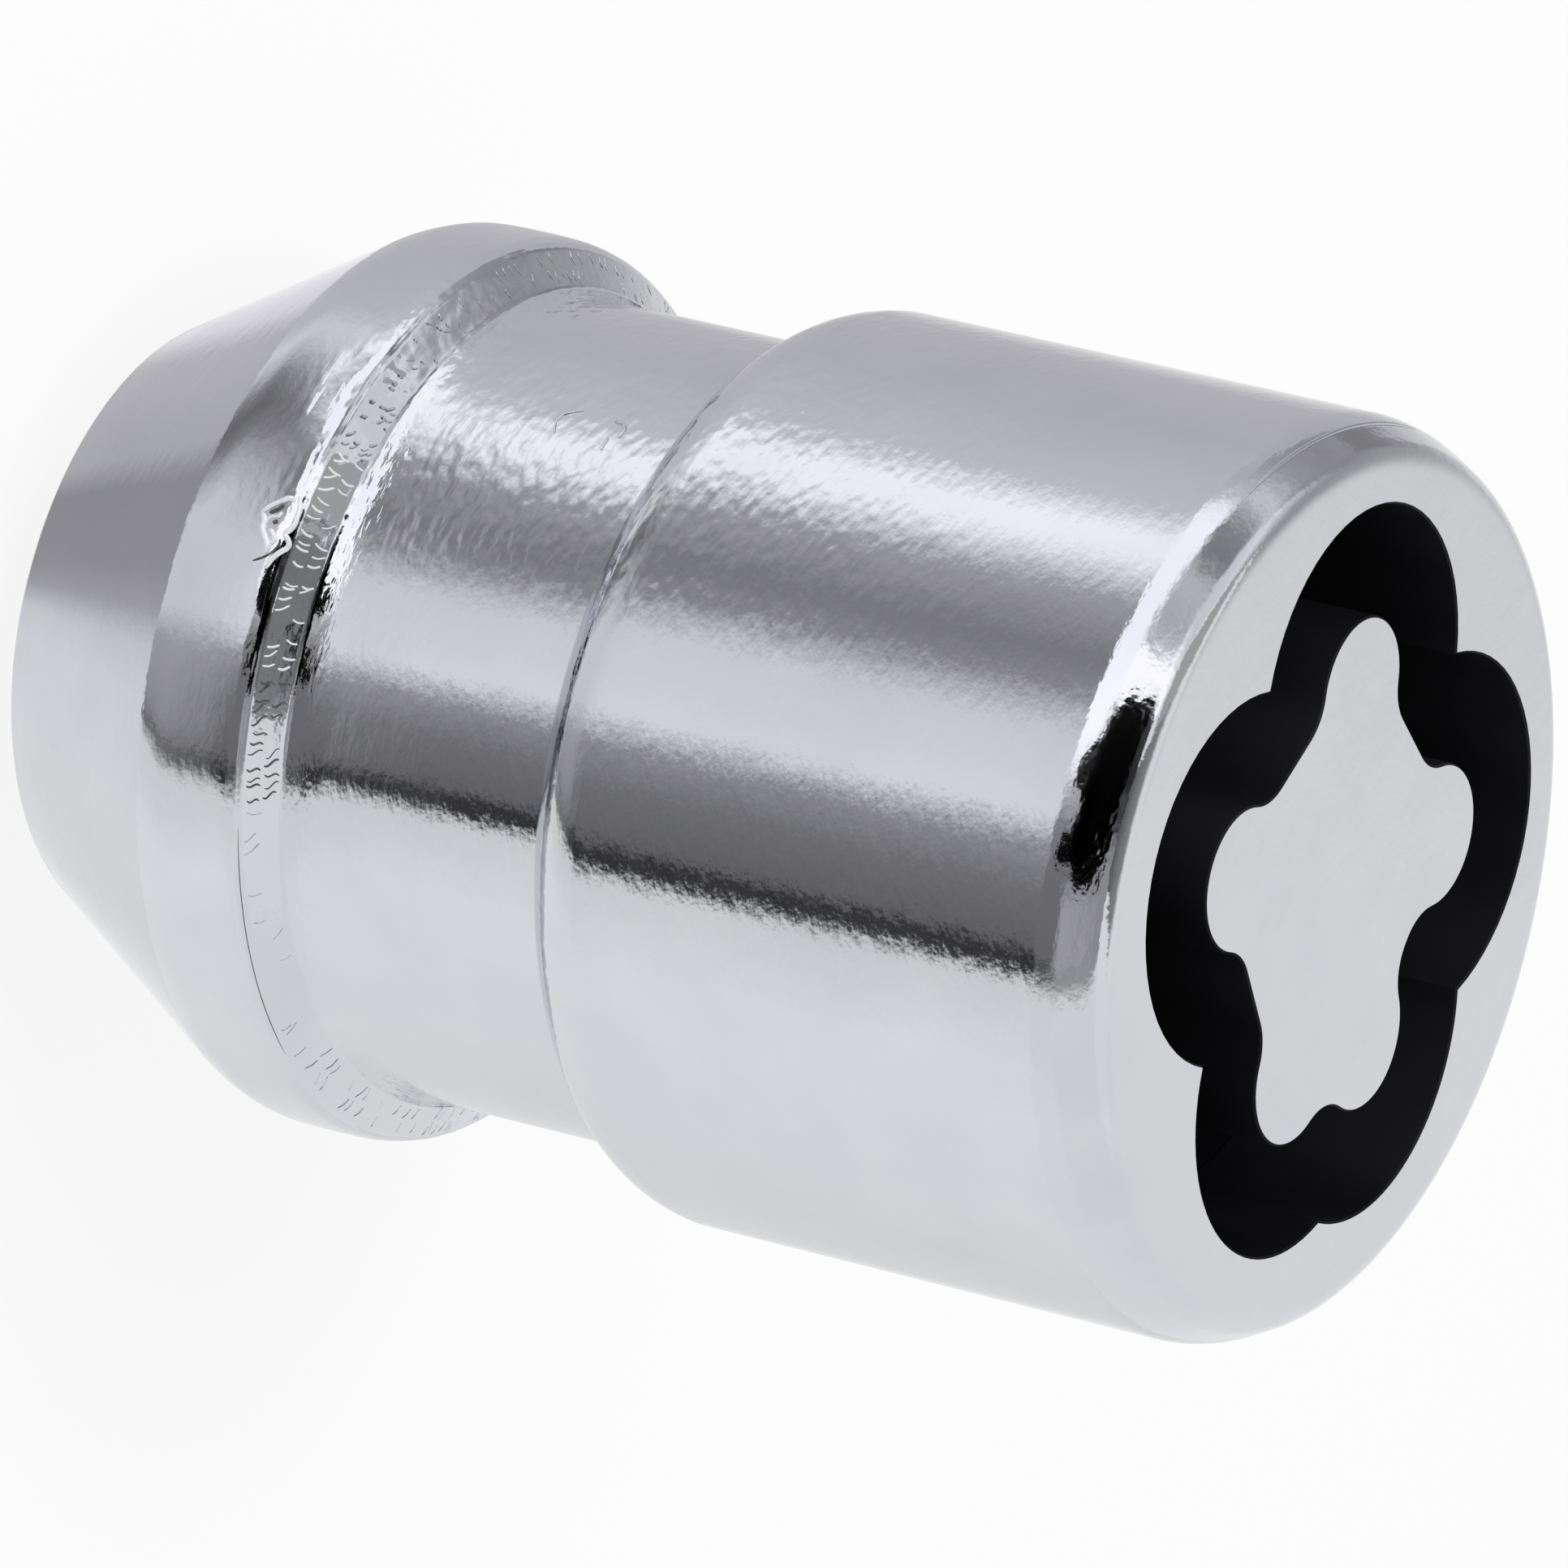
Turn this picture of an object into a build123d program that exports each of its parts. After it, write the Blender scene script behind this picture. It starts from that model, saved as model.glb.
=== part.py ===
from build123d import *

import math
import os

# Locking wheel nut: one turned piece of plated steel, in millimetres and degrees.
# It stands on its open end. Z is the thread axis, and the key face is on top.

# Outside of the turned body
LENGTH = 32.0
HEAD_DIAMETER = 22.0
COLLAR_DIAMETER = 21.8
NECK_DIAMETER = 19.4
NECK_LENGTH = 6.77
SHOULDER_LENGTH = 0.6
SEAT_ANGLE = 60.0  # included angle of the conical seat
LAND_LENGTH = 2.59
LAND_CROWN = 0.06  # rise of the collar's rim at half its width
COLLAR_BACK_LENGTH = 0.75
RIM_LENGTH = 1.2  # bevel between the head and the key face
RIM_INSET = 0.64

# Rounded and bevelled edges of the outside
NOSE_BREAK = 0.25
LIP_BREAK = 0.28
SEAT_ROUND = 1.8
COLLAR_ROOT_ROUND = 0.5
SHOULDER_ROUND = 1.6
RIM_SIDE_ROUND = 2.0
RIM_FACE_ROUND = 0.5

# Blind hole for the stud, at the minor diameter of an M12 x 1.5 thread
BORE_DIAMETER = 10.4
DRILL_POINT_ANGLE = 118.0
COUNTERSINK_WIDTH = 1.1
COUNTERSINK_ANGLE = 90.0
NOSE_FACE_WIDTH = 1.025  # flat ring at the open end, which the nut stands on
WEB_THICKNESS = 6.5  # steel between the end of the thread and the floor of the key groove

# Key groove: a track of one width around a post with equal lobes on one circle.
# The angles of the lobes, and the offset of their circle from the nut's axis, are the nut's code.
KEY_LOBE_ANGLES = (-84.2, -0.3, 41.1, 109.9, 193.3)
KEY_CENTRE = (-0.26, 0.06)
KEY_RING_WIDTH = 1.46  # mean width of the face outside the groove
KEY_GROOVE_WIDTH = 2.62
KEY_GROOVE_DEPTH = 4.5
KEY_LOBE_RADIUS = 1.74
KEY_VALLEY_RADIUS = 1.28
KEY_FLAT_INSET = 0.39  # from the lobes' circle in to the flats of the wide valleys
KEY_EDGE_BREAK = 0.12

# Radii that follow from the sizes above
head_radius = HEAD_DIAMETER / 2
collar_radius = COLLAR_DIAMETER / 2
neck_radius = NECK_DIAMETER / 2
bore_radius = BORE_DIAMETER / 2
countersink_radius = bore_radius + COUNTERSINK_WIDTH
nose_radius = countersink_radius + NOSE_FACE_WIDTH
face_radius = head_radius - RIM_INSET
key_pitch_radius = face_radius - KEY_RING_WIDTH - KEY_GROOVE_WIDTH - KEY_LOBE_RADIUS

# Heights above the open end that follow from them
seat_top = (collar_radius - nose_radius) / math.tan(math.radians(SEAT_ANGLE / 2))
land_top = seat_top + LAND_LENGTH
collar_top = land_top + COLLAR_BACK_LENGTH
neck_top = collar_top + NECK_LENGTH
head_bottom = neck_top + SHOULDER_LENGTH
rim_bottom = LENGTH - RIM_LENGTH
countersink_depth = COUNTERSINK_WIDTH / math.tan(math.radians(COUNTERSINK_ANGLE / 2))
bore_depth = LENGTH - KEY_GROOVE_DEPTH - WEB_THICKNESS
bore_tip = bore_depth + bore_radius / math.tan(math.radians(DRILL_POINT_ANGLE / 2))


def turned_section():
    """Half section of the nut beside its axis, with the blind hole."""
    seat = Polyline((countersink_radius, 0), (nose_radius, 0), (collar_radius, seat_top))
    land = SagittaArc((collar_radius, seat_top), (collar_radius, land_top), -LAND_CROWN)
    rest = Polyline(
        (collar_radius, land_top),
        (neck_radius, collar_top),
        (neck_radius, neck_top),
        (head_radius, head_bottom),
        (head_radius, rim_bottom),
        (face_radius, LENGTH),
        (0, LENGTH),
        (0, bore_tip),
        (bore_radius, bore_depth),
        (bore_radius, countersink_depth),
        (countersink_radius, 0),
    )
    section = make_face(seat + land + rest)
    edge_forms = (
        (nose_radius, 0, chamfer, NOSE_BREAK),
        (collar_radius, seat_top, fillet, SEAT_ROUND),
        (collar_radius, land_top, chamfer, LIP_BREAK),
        (neck_radius, collar_top, fillet, COLLAR_ROOT_ROUND),
        (head_radius, head_bottom, fillet, SHOULDER_ROUND),
        (head_radius, rim_bottom, fillet, RIM_SIDE_ROUND),
        (face_radius, LENGTH, fillet, RIM_FACE_ROUND),
    )
    for radius, height, form, size in edge_forms:
        corner = section.vertices().sort_by_distance((radius, height, 0))[0]
        section = form(corner, size)
    return Plane.XZ * section


def polar(distance, angle):
    """Vector of a length and a direction in the plane of the key face."""
    return Vector(distance, 0).rotate(Axis.Z, angle)


def key_valley(start_angle, end_angle):
    """Centres of the two fillets between neighbouring lobes, and the valley's outward direction."""
    outward = polar(1, (start_angle + end_angle) / 2)
    along = outward.rotate(Axis.Z, 90)
    half_gap = math.radians(end_angle - start_angle) / 2
    chord_distance = key_pitch_radius * math.cos(half_gap)
    half_chord = key_pitch_radius * math.sin(half_gap)
    reach = KEY_LOBE_RADIUS + KEY_VALLEY_RADIUS
    flat_lift = key_pitch_radius - KEY_FLAT_INSET + KEY_VALLEY_RADIUS - chord_distance
    # Lobes that stand close share one fillet, which lies further out than a flat would
    shared_lift = math.sqrt(max(reach**2 - half_chord**2, 0))
    lift = max(flat_lift, shared_lift)
    half_flat = half_chord - math.sqrt(reach**2 - lift**2)
    middle = Vector(*KEY_CENTRE) + outward * (chord_distance + lift)
    return middle - along * half_flat, middle + along * half_flat, outward


def valley_arc(centre, start, end):
    """Short arc about the centre of a valley's fillet."""
    middle = centre + (start + end - centre * 2).normalized() * KEY_VALLEY_RADIUS
    return ThreePointArc(start, middle, end)


def key_post():
    """Face of the post inside the key groove, in the plane of the key face."""
    following = KEY_LOBE_ANGLES[1:] + (KEY_LOBE_ANGLES[0] + 360,)
    valleys = [key_valley(start, end) for start, end in zip(KEY_LOBE_ANGLES, following)]
    lobes = [Vector(*KEY_CENTRE) + polar(key_pitch_radius, angle) for angle in KEY_LOBE_ANGLES]
    outline = []
    for index, (lobe, angle) in enumerate(zip(lobes, KEY_LOBE_ANGLES)):
        next_lobe = lobes[(index + 1) % len(lobes)]
        before = valleys[index - 1][1]
        first, second, outward = valleys[index]
        lobe_start = lobe + (before - lobe).normalized() * KEY_LOBE_RADIUS
        lobe_end = lobe + (first - lobe).normalized() * KEY_LOBE_RADIUS
        next_start = next_lobe + (second - next_lobe).normalized() * KEY_LOBE_RADIUS
        flat_start = first - outward * KEY_VALLEY_RADIUS
        flat_end = second - outward * KEY_VALLEY_RADIUS
        outline.append(ThreePointArc(lobe_start, lobe + polar(KEY_LOBE_RADIUS, angle), lobe_end))
        outline.append(valley_arc(first, lobe_end, flat_start))
        if flat_start != flat_end:
            outline.append(Line(flat_start, flat_end))
        outline.append(valley_arc(second, flat_end, next_start))
    return make_face(outline)


def nut_body():
    """The turned body with the key groove sunk into its closed end."""
    body = revolve(turned_section(), Axis.Z)
    post = key_post()
    track = offset(post, KEY_GROOVE_WIDTH) - post
    body -= extrude(Pos(0, 0, LENGTH) * track, -KEY_GROOVE_DEPTH)
    # The longest edge of the key face is its own boundary, and the others are the groove's rims
    rims = body.edges().filter_by_position(Axis.Z, LENGTH, LENGTH).sort_by(SortBy.LENGTH)[:-1]
    return chamfer(rims, KEY_EDGE_BREAK)


os.makedirs("parts", exist_ok=True)
export_step(nut_body(), "parts/nut_body.step")
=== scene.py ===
import math
import random
from collections import namedtuple

import bmesh
import bpy
from mathutils import Matrix, Vector, noise
from mathutils.geometry import tessellate_polygon


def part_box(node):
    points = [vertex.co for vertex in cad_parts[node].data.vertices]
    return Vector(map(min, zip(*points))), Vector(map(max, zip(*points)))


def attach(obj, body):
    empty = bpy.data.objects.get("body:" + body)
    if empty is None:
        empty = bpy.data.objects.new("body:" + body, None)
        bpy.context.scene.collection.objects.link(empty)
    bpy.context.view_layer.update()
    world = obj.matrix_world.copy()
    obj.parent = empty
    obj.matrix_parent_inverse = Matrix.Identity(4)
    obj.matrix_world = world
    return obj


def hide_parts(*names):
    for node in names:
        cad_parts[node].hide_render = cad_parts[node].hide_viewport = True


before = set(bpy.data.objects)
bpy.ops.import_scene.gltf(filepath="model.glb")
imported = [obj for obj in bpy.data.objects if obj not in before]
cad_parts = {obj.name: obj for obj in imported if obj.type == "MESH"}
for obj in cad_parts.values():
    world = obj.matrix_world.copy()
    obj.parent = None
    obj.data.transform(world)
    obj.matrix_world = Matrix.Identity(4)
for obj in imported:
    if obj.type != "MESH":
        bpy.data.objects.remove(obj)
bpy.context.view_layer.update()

# Looks of the locking wheel nut: one dressed mesh in place of the solid, thin marks on it and a studio.
# Sizes are in millimetres and degrees unless a comment says otherwise, and the meshes are made in metres.
MM = 0.001

# Main sizes of the turned body, as in the part's source. The frame gives its length.
box_low, box_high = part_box("nut_body")
LENGTH = (box_high.z - box_low.z) / MM
HEAD_RADIUS = 11.0
COLLAR_RADIUS = 10.9
NECK_RADIUS = 9.7
NECK_LENGTH = 6.77
SHOULDER_LENGTH = 0.6
SEAT_HALF_ANGLE = 30.0
LAND_LENGTH = 2.59
LAND_CROWN = 0.06
CROWN_POWER = 3  # the higher, the flatter the middle of the collar's rim
COLLAR_BACK_LENGTH = 0.75
RIM_LENGTH = 1.2
RIM_INSET = 0.64

# Rounded edges, the rolled lip of the collar, the flare at the neck's root and the taper above the shoulder
NOSE_ROUND = 0.25
SEAT_ROUND = 1.8
LIP_ROUND = 0.3
LIP_ROLL_LENGTH = 0.32
LIP_ROLL_ANGLE = 20.0
LIP_ROLL_ROUND = 1.2
COLLAR_ROOT_ROUND = 0.28
ROOT_FLARE_LENGTH = 0.54
ROOT_FLARE_ANGLE = 20.0
ROOT_FLARE_ROUND = 2.6
SHOULDER_ROUND = 2.1
SHOULDER_FLARE_LENGTH = 1.2
SHOULDER_FLARE_ANGLE = 8.0
SHOULDER_FLARE_ROUND = 0.4
RIM_SIDE_ROUND = 2.0
RIM_FACE_ROUND = 0.65

# Threaded hole, M12 x 1.5
MINOR_RADIUS = 5.2
MAJOR_RADIUS = 6.0
THREAD_PITCH = 1.5
CREST_WIDTH = 0.38
ROOT_WIDTH = 0.2
BORE_DEPTH = 21.0
DRILL_POINT_HALF_ANGLE = 59.0
COUNTERSINK_WIDTH = 1.1
NOSE_FACE_WIDTH = 1.025

# Key groove, a track of one width around a post with five lobes
KEY_LOBE_ANGLES = (-84.2, -0.3, 41.1, 109.9, 193.3)
KEY_CENTRE = Vector((-0.26, 0.06))
KEY_RING_WIDTH = 1.46
KEY_GROOVE_WIDTH = 2.62
KEY_GROOVE_DEPTH = 4.5
KEY_LOBE_RADIUS = 1.74
KEY_VALLEY_RADIUS = 1.28
KEY_FLAT_INSET = 0.39
KEY_EDGE_BREAK = 0.05

# Places that follow from the sizes above
countersink_radius = MINOR_RADIUS + COUNTERSINK_WIDTH
nose_radius = countersink_radius + NOSE_FACE_WIDTH
face_radius = HEAD_RADIUS - RIM_INSET
key_pitch_radius = face_radius - KEY_RING_WIDTH - KEY_GROOVE_WIDTH - KEY_LOBE_RADIUS
groove_floor = LENGTH - KEY_GROOVE_DEPTH
seat_top = (COLLAR_RADIUS - nose_radius) / math.tan(math.radians(SEAT_HALF_ANGLE))
land_top = seat_top + LAND_LENGTH
collar_top = land_top + COLLAR_BACK_LENGTH
neck_top = collar_top + NECK_LENGTH
head_bottom = neck_top + SHOULDER_LENGTH
root_rise = ROOT_FLARE_LENGTH * math.tan(math.radians(ROOT_FLARE_ANGLE))
root_height = collar_top - COLLAR_BACK_LENGTH * root_rise / (COLLAR_RADIUS - NECK_RADIUS)
lip_drop = LIP_ROLL_LENGTH * math.tan(math.radians(LIP_ROLL_ANGLE))
lip_height = land_top + COLLAR_BACK_LENGTH * lip_drop / (COLLAR_RADIUS - NECK_RADIUS)
flare_drop = SHOULDER_FLARE_LENGTH * math.tan(math.radians(SHOULDER_FLARE_ANGLE))
flare_top = head_bottom + SHOULDER_FLARE_LENGTH
rim_bottom = LENGTH - RIM_LENGTH
thread_start = COUNTERSINK_WIDTH  # a right-angled countersink is as deep as it is wide
bore_tip = BORE_DEPTH + MINOR_RADIUS / math.tan(math.radians(DRILL_POINT_HALF_ANGLE))

# Wear and working marks. Azimuth is counted from the side that the camera sees, towards +X.
MARK_SEED = 5

# Waviness of the back of the collar, with a bruise on it, and the turned-up edge along the lip.
# A scale is the noise's waves per millimetre, and the margin is a share of the back's width.
UNEVEN_HEIGHT = 0.003
UNEVEN_SCALE = 3.0
UNEVEN_MARGIN = 0.1
BRUISE_AZIMUTH = -38.0
BRUISE_HALF_WIDTH = 18.0
BRUISE_HEIGHT = 0.02
BRUISE_SCALE = 4.5
LIP_EDGE_HEIGHT = 0.02
LIP_EDGE_WIDTH = 0.06
LIP_EDGE_MEAN = 0.6
LIP_EDGE_CHANGE = 0.5
LIP_EDGE_SCALE = 1.6

LipWear = namedtuple("LipWear", "azimuth half_width start slope")

# Places where the collar's lip is rolled over further down
LIP_WEAR = (
    LipWear(-33.5, 9.0, 7.75, 0.19),
    LipWear(-8.0, 6.0, 8.25, 0.1),
)

ChatterZone = namedtuple("ChatterZone", "start end share radius lanes bends finish")

# Tool chatter around the back of the collar, zone by zone: the share of the crests that stand, how thick
# they are, in how many lanes they lie, how often they bend, and whether they are plain, worn or open.
# Open crests are coloured with painted shade of their crevices.
CHATTER_ZONES = (
    ChatterZone(-180, -52, 0.4, 0.018, 2, 1, "plain"),
    ChatterZone(-52, -26, 0.4, 0.03, 4, 1, "plain"),
    ChatterZone(-26, 5, 0.8, 0.03, 2, 1, "worn"),
    ChatterZone(5, 22, 0.9, 0.024, 2, 2, "open"),
    ChatterZone(22, 64, 0.2, 0.015, 2, 1, "plain"),
    ChatterZone(64, 180, 0.5, 0.02, 2, 1, "plain"),
)

# How the crests of the chatter differ from each other
CHATTER_COUNT = 260  # steps around the whole collar
CHATTER_MARGIN = 0.08  # share of the back's width that is free at the lip and at the root
CHATTER_SHIFT = (-0.3, 0.3)  # in steps
CHATTER_DELAY = (0.0, 0.1)  # in shares of the back's width
CHATTER_LENGTH = (0.65, 0.9)  # in shares of a lane
CHATTER_SLANT = (-1.3, 0.3)  # in degrees
CHATTER_BOW = (0.15, 0.4)  # in degrees
CHATTER_THICKNESS = (0.6, 1.2)  # in shares of the zone's radius

# Short scrapes along the collar's rim, below the worn lip
SCUFF_COUNT = 7
SCUFF_RADIUS = 0.022
SCUFF_AZIMUTH = (-41.0, -32.0)
SCUFF_HEIGHT = (7.8, 8.4)
SCUFF_LENGTH = (1.0, 6.0)  # in degrees
SCUFF_CLIMB = (-0.03, 0.03)
SCUFF_THICKNESS = (0.5, 1.5)  # in shares of the radius

Ridge = namedtuple("Ridge", "radius places")

# Torn metal on the collar's rim, through places given by azimuth and height
COLLAR_BURR = (
    Ridge(0.07, ((-15.3, 7.9), (-16.4, 8.09), (-17.1, 8.26), (-17.9, 8.45), (-17.7, 8.6))),
    Ridge(0.08, ((-15.3, 7.9), (-14.4, 8.08), (-13.5, 8.06), (-12.5, 8.19), (-11.5, 8.37), (-10.4, 8.36))),
    Ridge(0.06, ((-13.5, 8.25), (-13.0, 8.4), (-12.2, 8.49), (-11.5, 8.37))),
    Ridge(0.05, ((-14.4, 8.08), (-15.0, 8.17), (-15.2, 8.37), (-15.9, 8.41))),
    Ridge(0.07, ((-18.4, 8.65), (-16.9, 8.77), (-15.9, 8.76), (-14.8, 8.78), (-13.8, 8.71), (-13.4, 8.61))),
    Ridge(0.07, ((-13.4, 8.61), (-12.9, 8.74), (-12.0, 8.83), (-11.0, 8.66), (-9.8, 8.52), (-8.6, 8.48))),
)

# Open folds beside it, coloured with painted shade of their crevices
COLLAR_FOLDS = (
    Ridge(0.05, ((-15.4, 8.1), (-16.1, 8.3), (-16.8, 8.39))),
    Ridge(0.05, ((-14.3, 8.28), (-14.6, 8.39))),
    Ridge(0.03, ((-9.1, 8.1), (-9.8, 8.34), (-10.7, 8.51), (-11.9, 8.61), (-12.6, 8.58))),
)

# Edges of a bruise on the neck
NECK_SCORES = (
    Ridge(0.03, ((-39.8, 13.26), (-41.6, 13.08), (-43.0, 13.07), (-44.0, 13.14), (-45.3, 13.52))),
    Ridge(0.045, ((-44.5, 14.45), (-44.5, 14.69), (-43.4, 14.85), (-41.6, 14.84))),
    Ridge(0.03, ((-41.2, 14.59), (-39.9, 14.61), (-38.7, 14.64))),
)

# Hairline crack along the collar's lip, a ridge coloured with painted shade of the crack
LIP_CRACK_RADIUS = 0.012
LIP_CRACK_HEIGHT = lip_height - 0.05
LIP_CRACK_AZIMUTHS = range(24, 66, 6)
LIP_CRACK = Ridge(LIP_CRACK_RADIUS, [(azimuth, LIP_CRACK_HEIGHT) for azimuth in LIP_CRACK_AZIMUTHS])

# Raised outer edge of the rim
RIM_EDGE_RADIUS = 0.055
RIM_EDGE_HEIGHT = LENGTH - 0.9
RIM_EDGE_AZIMUTHS = range(-92, -46, 4)
RIM_EDGE = Ridge(RIM_EDGE_RADIUS, [(azimuth, RIM_EDGE_HEIGHT) for azimuth in RIM_EDGE_AZIMUTHS])

# Mesh density: points around a plain ring, around a ring with marks and around the thread, and steps along
# the arcs of the key groove
PLAIN_POINTS = 320
MARKED_POINTS = 960
THREAD_POINTS = 160
LOBE_STEPS = 28
VALLEY_STEPS = 10

# Edges above this angle are sharp, and points closer than this distance are joined
SHARP_ANGLE = 40.0
WELD_DISTANCE = 1e-4

# Round section of a ridge, how thin it is at its ends and how fast it grows, and how its path is smoothed
RIDGE_POINTS = 10
RIDGE_END_SHARE = 0.25
RIDGE_GROWTH = 4
CORNER_CUT_ROUNDS = 2
CORNER_CUT_SHARE = 0.25

# Material slots of a mesh
FIRST_SLOT = 0
GROOVE_SLOT = 1

Corner = namedtuple("Corner", "radius height rounding arc_rows run_rows points")

# Corners of the turned profile, from the countersink's edge to the flat of the key face
PROFILE = (
    Corner(countersink_radius, 0.0, 0.0, 0, 2, PLAIN_POINTS),
    Corner(nose_radius, 0.0, NOSE_ROUND, 4, 4, PLAIN_POINTS),
    Corner(COLLAR_RADIUS, seat_top, SEAT_ROUND, 7, 12, MARKED_POINTS),
    Corner(COLLAR_RADIUS, lip_height - LIP_ROLL_LENGTH, LIP_ROLL_ROUND, 9, 2, MARKED_POINTS),
    Corner(COLLAR_RADIUS - lip_drop, lip_height, LIP_ROUND, 8, 8, MARKED_POINTS),
    Corner(NECK_RADIUS + root_rise, root_height, COLLAR_ROOT_ROUND, 8, 2, MARKED_POINTS),
    Corner(NECK_RADIUS, root_height + ROOT_FLARE_LENGTH, ROOT_FLARE_ROUND, 8, 4, MARKED_POINTS),
    Corner(NECK_RADIUS, neck_top, 0.0, 0, 2, PLAIN_POINTS),
    Corner(HEAD_RADIUS - flare_drop, head_bottom, SHOULDER_ROUND, 20, 1, PLAIN_POINTS),
    Corner(HEAD_RADIUS, flare_top, SHOULDER_FLARE_ROUND, 4, 4, PLAIN_POINTS),
    Corner(HEAD_RADIUS, rim_bottom, RIM_SIDE_ROUND, 12, 2, PLAIN_POINTS),
    Corner(face_radius, LENGTH, RIM_FACE_ROUND, 10, 2, PLAIN_POINTS),
    Corner(face_radius - RIM_FACE_ROUND, LENGTH, 0.0, 0, 0, PLAIN_POINTS),
)


def corner_rows(before, corner, after):
    """Rows of the profile along the rounding of one corner."""
    place = Vector((corner.radius, corner.height))
    if not corner.rounding:
        return [place]
    back = (Vector((before.radius, before.height)) - place).normalized()
    ahead = (Vector((after.radius, after.height)) - place).normalized()
    half_angle = back.angle(ahead) / 2
    reach = corner.rounding / math.tan(half_angle)
    centre = place + (back + ahead).normalized() * corner.rounding / math.sin(half_angle)
    start = place + back * reach - centre
    sweep = -start.angle_signed(place + ahead * reach - centre)
    steps = range(corner.arc_rows + 1)
    return [centre + Matrix.Rotation(sweep * step / corner.arc_rows, 2) @ start for step in steps]


def profile_rows():
    """Radius, height and point count of every row of the turned outside."""
    rows = []
    for index, corner in enumerate(PROFILE):
        before = PROFILE[max(index - 1, 0)]
        after = PROFILE[min(index + 1, len(PROFILE) - 1)]
        rounding = corner_rows(before, corner, after)
        if rows:
            run_start = Vector(rows[-1][:2])
            count = before.run_rows
            inner = [run_start.lerp(rounding[0], step / count) for step in range(1, count)]
            points = min(before.points, corner.points)
            rows += [(row.x, row.y, points) for row in inner]
        rows += [(row.x, row.y, corner.points) for row in rounding]
    return rows


def crown(height):
    """Rise of the collar's rim, which is slightly barrelled."""
    across = (height - seat_top) / LAND_LENGTH
    return LAND_CROWN * (1 - abs(2 * across - 1) ** CROWN_POWER) if 0 < across < 1 else 0.0


def uneven(azimuth, height, place):
    """Slight waviness of the back of the collar, which is bruised behind the worn lip."""
    across = (height - lip_height) / (root_height - lip_height)
    if not UNEVEN_MARGIN < across < 1 - UNEVEN_MARGIN:
        return 0.0
    along = (math.degrees(azimuth) - BRUISE_AZIMUTH) / BRUISE_HALF_WIDTH
    bruise = BRUISE_HEIGHT * max(1 - along * along, 0.0) * noise.noise(place * BRUISE_SCALE)
    return UNEVEN_HEIGHT * noise.noise(place * UNEVEN_SCALE) + bruise


def lip_edge(height, place):
    """Thin turned-up edge along the collar's lip, higher in some places than in others."""
    offset = (height - lip_height + LIP_ROUND / 2) / LIP_EDGE_WIDTH
    share = LIP_EDGE_MEAN + LIP_EDGE_CHANGE * noise.noise(place * LIP_EDGE_SCALE)
    return LIP_EDGE_HEIGHT * math.exp(-offset * offset) * share


def lip_wear(azimuth, height):
    """Extra drop of the rim towards the lip where it is rolled over, which ends at the collar's root."""
    drop = 0.0
    for wear in LIP_WEAR:
        along = (math.degrees(azimuth) - wear.azimuth) / wear.half_width
        if abs(along) < 1 and wear.start < height < root_height:
            reach = min(height, lip_height) - wear.start
            fade = 1 - max(height - lip_height, 0.0) / (root_height - lip_height)
            drop += wear.slope * reach * (1 - along * along) ** 2 * fade
    return -drop


def ring_points(radius, height, count, outward):
    """Points of one ring of the outside, lifted from the plain profile by its crown and its wear."""
    points = []
    for step in range(count):
        azimuth = 2 * math.pi * step / count
        if azimuth > math.pi:
            azimuth -= 2 * math.pi
        direction = Vector((math.sin(azimuth), -math.cos(azimuth), 0.0))
        lift = crown(height)
        if count == MARKED_POINTS:
            place = direction * radius + Vector((0.0, 0.0, height))
            lift += uneven(azimuth, height, place)
            lift += lip_edge(height, place)
            lift += lip_wear(azimuth, height)
        level = Vector((0.0, 0.0, height + outward.y * lift))
        points.append(direction * (radius + outward.x * lift) + level)
    return points


def outside_rings():
    """Points of every ring of the outside."""
    rows = profile_rows()
    rings = []
    for index, (radius, height, count) in enumerate(rows):
        low = rows[max(index - 1, 0)]
        high = rows[min(index + 1, len(rows) - 1)]
        along = Vector((high[0] - low[0], high[1] - low[1])).normalized()
        rings.append(ring_points(radius, height, count, Vector((along.y, -along.x))))
    return rings


def arc_points(centre, start, end, steps, turn):
    """Points from start to end about a centre: turn is 1 anticlockwise or -1 clockwise."""
    first = start - centre
    last = end - centre
    sweep = (turn * (math.atan2(last.y, last.x) - math.atan2(first.y, first.x))) % (2 * math.pi)
    return [centre + Matrix.Rotation(turn * sweep * step / steps, 2) @ first for step in range(steps + 1)]


def polar(distance, degrees):
    """Vector of a length and a direction in the plane of the key face."""
    return Vector((math.cos(math.radians(degrees)), math.sin(math.radians(degrees)))) * distance


def lobe_centre(angle):
    """Centre of one lobe of the post."""
    return KEY_CENTRE + polar(key_pitch_radius, angle)


def valley_chord(start_angle, end_angle):
    """Outward direction between two lobes, and the distance and half length of the chord that joins them."""
    outward = polar(1, (start_angle + end_angle) / 2)
    half_gap = math.radians(end_angle - start_angle) / 2
    return outward, key_pitch_radius * math.cos(half_gap), key_pitch_radius * math.sin(half_gap)


def fillet_centres(start_angle, end_angle):
    """Centres of the two fillets between neighbouring lobes."""
    outward, chord_distance, half_chord = valley_chord(start_angle, end_angle)
    along = Vector((-outward.y, outward.x))
    reach = KEY_LOBE_RADIUS + KEY_VALLEY_RADIUS
    flat_lift = key_pitch_radius - KEY_FLAT_INSET + KEY_VALLEY_RADIUS - chord_distance
    # Lobes that stand close share one fillet, which lies further out than a flat would
    shared_lift = math.sqrt(max(reach**2 - half_chord**2, 0))
    lift = max(flat_lift, shared_lift)
    half_flat = half_chord - math.sqrt(reach**2 - lift**2)
    middle = KEY_CENTRE + outward * (chord_distance + lift)
    return [middle + along * side * half_flat for side in (-1, 1)]


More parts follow.
